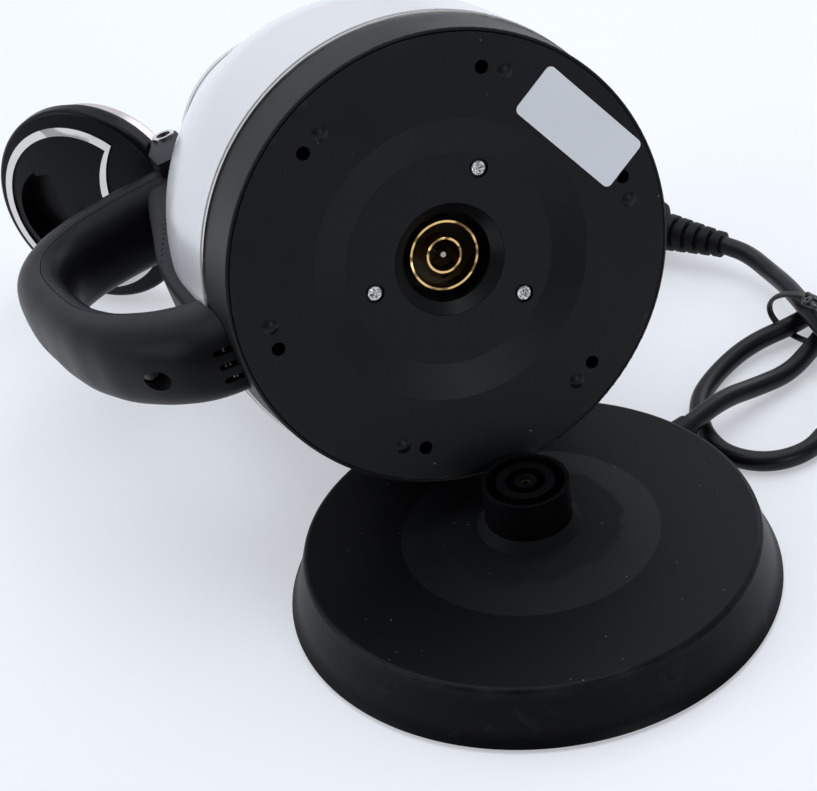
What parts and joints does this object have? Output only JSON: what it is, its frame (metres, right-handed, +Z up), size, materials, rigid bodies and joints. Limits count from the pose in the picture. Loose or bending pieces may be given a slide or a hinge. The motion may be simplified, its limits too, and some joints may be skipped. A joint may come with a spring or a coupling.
{
  "type": "gooseneck electric kettle",
  "caption": "Electric kettle with a gooseneck spout and flip lid, lying against its round cordless power base with the lead looped beside it.",
  "frame": {"origin": "under the middle of the power base, in the plane its rubber feet stand on", "axes": "+Z up, +Y the way the lying kettle's axis runs from its bottom to its lid seen from above, +X to the spout's side"},
  "size_m": [0.3532, 0.3576, 0.1777],
  "materials": {
    "black_plastic": "fine satin moulded plastic, slightly dusty",
    "grey_plastic": "satin moulded plastic",
    "white_shell": "glossy white",
    "steel": "fine brushed stainless steel",
    "zinc": "zinc plated",
    "chrome": "bright plated",
    "brass": "polished brass",
    "rubber": "soft black rubber",
    "label": "plain silver-white film"
  },
  "bodies": {
    "base": {"base_bottom_cover": "black_plastic", "base_feet": "rubber", "base_screws": "zinc", "base_top_shell": "black_plastic", "connector_post": "black_plastic", "cord_gland": "rubber", "cord_tie": "zinc", "plug_body": "black_plastic", "plug_pins": "zinc", "plug_relief": "rubber", "post_earth_contact": "brass", "post_live_contact": "brass", "post_neutral_contact": "brass", "power_cord": "rubber"},
    "kettle": {"bottom_plate": "black_plastic", "bottom_screws": "zinc", "connector_socket": "black_plastic", "gooseneck_spout": "steel", "handle_inner_cover": "black_plastic", "handle_outer_shell": "black_plastic", "handle_screw": "zinc", "handle_spine": "black_plastic", "heater_plate": "steel", "heating_element": "zinc", "hinge_pin": "steel", "hinge_yoke": "black_plastic", "inner_pot": "steel", "neck_ring": "white_shell", "outer_shell": "white_shell", "rating_label": "label", "skirt": "grey_plastic", "socket_earth_pin": "brass", "socket_inner_ring": "brass", "socket_outer_ring": "brass", "spout_collar": "steel", "steam_switch": "black_plastic", "steel_rim_ring": "steel", "switch_pin": "steel", "thermostat": "black_plastic", "thermostat_snap_disc": "zinc", "yoke_trims": "chrome"},
    "lid": {"lid_cap": "black_plastic", "lid_trim_ring": "chrome", "lid_pull_bar": "black_plastic", "lid_liner": "steel", "lid_seal": "rubber"},
    "switch_lever": {"switch_lever": "black_plastic"}
  },
  "joints": [
    {"name": "kettle_lift", "type": "slide", "parent": "base", "child": "kettle", "axis": [0, 0, 1], "range_m": [0, 0.25]},
    {"name": "lid_hinge", "type": "hinge", "parent": "kettle", "child": "lid", "pos_m": [-0.04569, 0.21743, 0.05552], "axis": [0.1702, -0.228, -0.9587], "range_deg": [0, 134.3]},
    {"name": "switch_rock", "type": "hinge", "parent": "kettle", "child": "switch_lever", "pos_m": [-0.08707, 0.06907, 0.08346], "axis": [0.1702, -0.228, -0.9587], "range_deg": [0, 14]}
  ]
}
